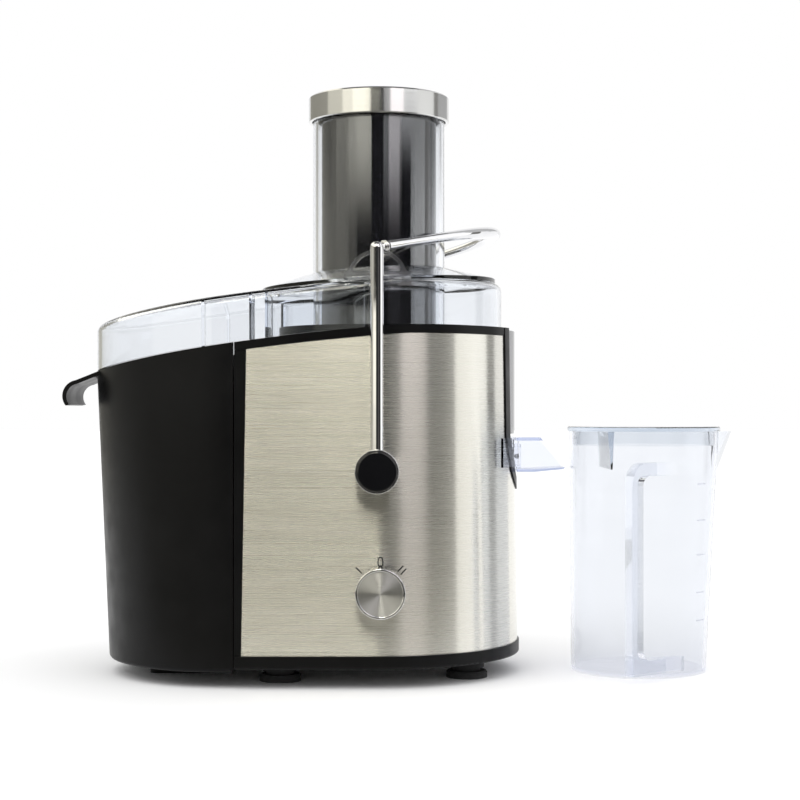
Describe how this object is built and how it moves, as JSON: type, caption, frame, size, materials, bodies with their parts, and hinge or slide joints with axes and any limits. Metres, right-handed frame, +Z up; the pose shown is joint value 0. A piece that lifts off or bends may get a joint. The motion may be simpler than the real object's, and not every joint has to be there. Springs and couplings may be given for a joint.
{
  "type": "centrifugal juicer",
  "caption": "Centrifugal juicer with a steel-clad body, clear sloping lid and wide feed tube, chrome locking arm, black pulp container and a clear juice jug.",
  "frame": {"origin": "on the surface it stands on, under the middle of the juicer and jug together; the spin axis is 14.2 mm to the left of it", "axes": "+X from the pulp container to the juice spout, +Y from the knob side to the back, +Z up along the spin axis"},
  "size_m": [0.4316, 0.216, 0.3725],
  "materials": {
    "black_plastic": "fine satin moulding",
    "brushed_cladding": "brushed along its length",
    "cap_steel": "turned and brushed",
    "clear_plastic": "clear, polished",
    "smoke_plastic": "translucent grey, polished",
    "dark_gloss": "polished, near black",
    "chrome": "mirror bright",
    "spun_aluminium": "spun, fine rings",
    "rubber": "matt",
    "plain_steel": "ground",
    "fine_steel": "etched sheet",
    "laminations": "stacked sheet edges",
    "copper": "enamelled wire and bars",
    "carbon": "pressed carbon",
    "pale_plastic": "moulded"
  },
  "bodies": {
    "body": {"base_cover": "black_plastic", "foot_front_left": "rubber", "foot_front_right": "rubber", "foot_rear_left": "rubber", "foot_rear_right": "rubber", "inner_housing": "black_plastic", "motor_deck": "black_plastic", "steel_cladding": "brushed_cladding", "top_rim": "black_plastic", "spout_trim": "black_plastic", "spout_panel": "smoke_plastic", "juice_bowl": "clear_plastic", "spout": "clear_plastic", "shaft_seal": "rubber", "cord_gland": "rubber", "base_screws": "plain_steel", "lid": "clear_plastic", "lid_latches": "clear_plastic", "feed_tube": "clear_plastic", "motor_stator": "laminations", "field_coils": "copper", "motor_lower_plate": "plain_steel", "motor_upper_plate": "plain_steel", "motor_bolts": "plain_steel", "stack_spacers": "plain_steel", "motor_mounts": "rubber", "bearings": "plain_steel", "brush_holders": "pale_plastic", "carbon_brushes": "carbon", "rotary_switch": "pale_plastic", "interlock_switches": "black_plastic", "arm_bush_front": "pale_plastic", "arm_bush_rear": "pale_plastic"},
    "rotor": {"motor_shaft": "plain_steel", "armature": "laminations", "commutator": "copper", "cooling_fan": "pale_plastic", "drive_coupling": "pale_plastic", "basket_hub": "pale_plastic", "grater_disc": "fine_steel", "basket_mesh": "fine_steel", "basket_rim": "black_plastic"},
    "knob": {"knob_shell": "chrome", "knob_face": "spun_aluminium", "knob_spindle": "plain_steel"},
    "arm": {"arm_pin_front": "plain_steel", "arm_pin_rear": "plain_steel", "arm_rod_front": "chrome", "arm_rod_rear": "chrome", "pivot_ring_front": "chrome", "pivot_ring_rear": "chrome", "pivot_cap_front": "dark_gloss", "pivot_cap_rear": "dark_gloss", "arm_loop": "chrome", "arm_clips": "plain_steel"},
    "pusher": {"pusher_body": "dark_gloss", "pusher_cap": "cap_steel"},
    "container": {"pulp_container": "black_plastic"},
    "jug": {"jug_body": "clear_plastic"},
    "jug_cover": {"jug_lid": "clear_plastic"}
  },
  "joints": [
    {"name": "rotor_spin", "type": "hinge", "parent": "body", "child": "rotor", "pos_m": [-0.0142, 0, 0.1], "axis": [0, 0, 1], "continuous": true},
    {"name": "knob_turn", "type": "hinge", "parent": "body", "child": "knob", "pos_m": [-0.0122, -0.095, 0.059], "axis": [0, 1, 0], "range_deg": [-45, 45]},
    {"name": "arm_swing", "type": "hinge", "parent": "body", "child": "arm", "pos_m": [-0.0142, 0, 0.132], "axis": [0, 1, 0], "range_deg": [0, 50]},
    {"name": "pusher_lift", "type": "slide", "parent": "body", "child": "pusher", "axis": [0, 0, 1], "range_m": [0, 0.19]},
    {"name": "container_slide", "type": "slide", "parent": "body", "child": "container", "axis": [-1, 0, 0], "range_m": [0, 0.15]},
    {"name": "jug_slide", "type": "slide", "parent": "body", "child": "jug", "axis": [1, 0, 0], "range_m": [0, 0.15]},
    {"name": "jug_lid_lift", "type": "slide", "parent": "jug", "child": "jug_cover", "axis": [0, 0, 1], "range_m": [0, 0.1]}
  ]
}
